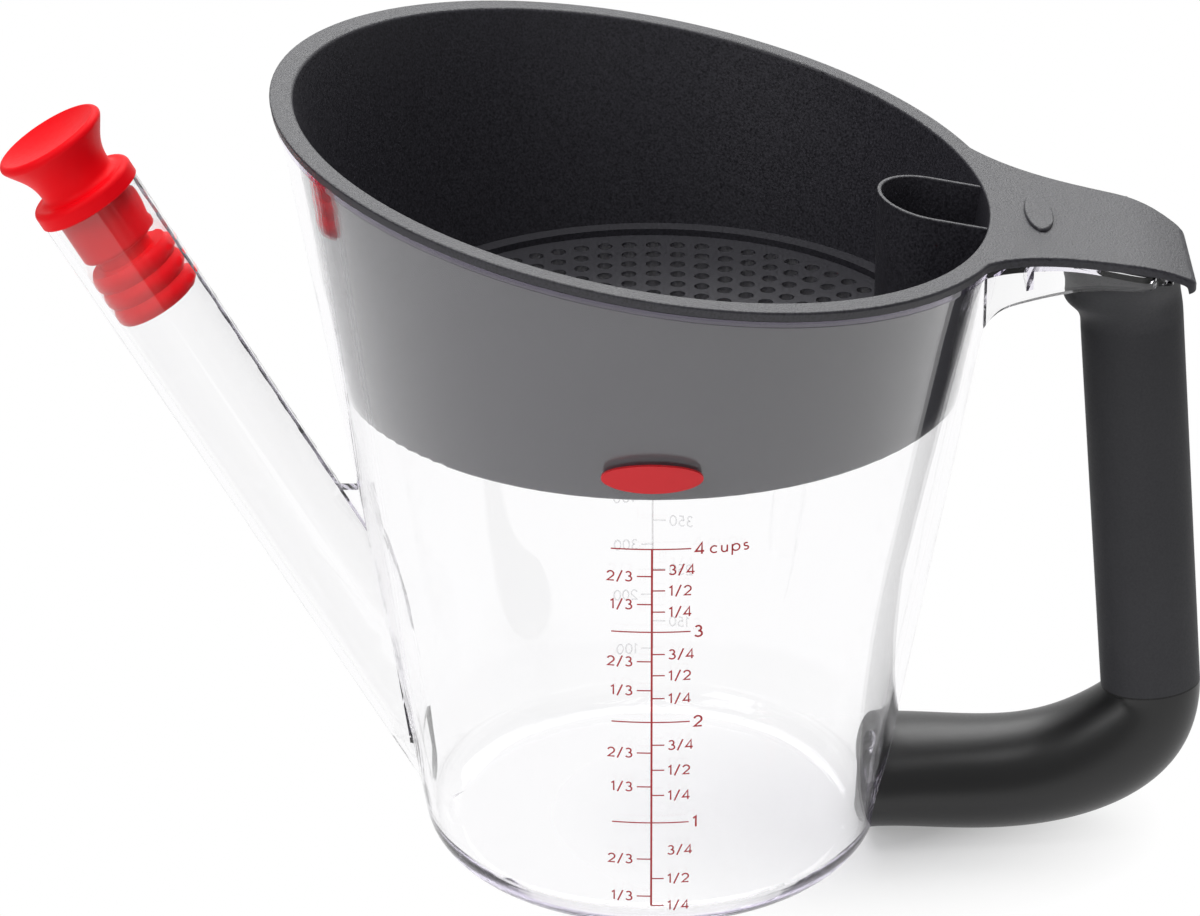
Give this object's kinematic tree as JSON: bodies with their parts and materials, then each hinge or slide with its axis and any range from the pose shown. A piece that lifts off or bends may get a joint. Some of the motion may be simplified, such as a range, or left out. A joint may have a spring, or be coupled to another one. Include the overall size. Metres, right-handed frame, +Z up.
{
  "type": "gravy fat separator",
  "caption": "Clear conical measuring cup with a low-mouthed side spout, a lift-out perforated strainer with a thumb tab, a pull-out spout stopper and a black loop handle.",
  "frame": {"origin": "centre of the cup's flat base, on the surface it stands on", "axes": "+Z up along the cup's axis; +X towards the handle and -X towards the spout; +Y to the back, away from the badge"},
  "size_m": [0.2519, 0.151, 0.1725],
  "materials": {
    "clear_plastic": "clear injection-moulded copolyester, polished, gloss",
    "strainer_plastic": "charcoal polypropylene, fine-grained and satin on top",
    "stopper_silicone": "red silicone, satin",
    "grip_rubber": "soft dark grey thermoplastic rubber, matte",
    "elbow_plastic": "rigid black plastic, satin",
    "badge_plastic": "red plastic, gloss, bare"
  },
  "bodies": {
    "cup_and_handle": {"cup": "clear_plastic", "grip_sleeve": "grip_rubber", "handle_elbow": "elbow_plastic", "front_badge": "badge_plastic"},
    "strainer": {"strainer": "strainer_plastic"},
    "stopper": {"spout_stopper": "stopper_silicone"}
  },
  "joints": [
    {"name": "strainer_lift", "type": "slide", "parent": "cup_and_handle", "child": "strainer", "axis": [0, 0, 1], "range_m": [0, 0.07]},
    {"name": "stopper_pull", "type": "slide", "parent": "cup_and_handle", "child": "stopper", "axis": [-0.4942, 0, 0.8693], "range_m": [0, 0.035]}
  ]
}
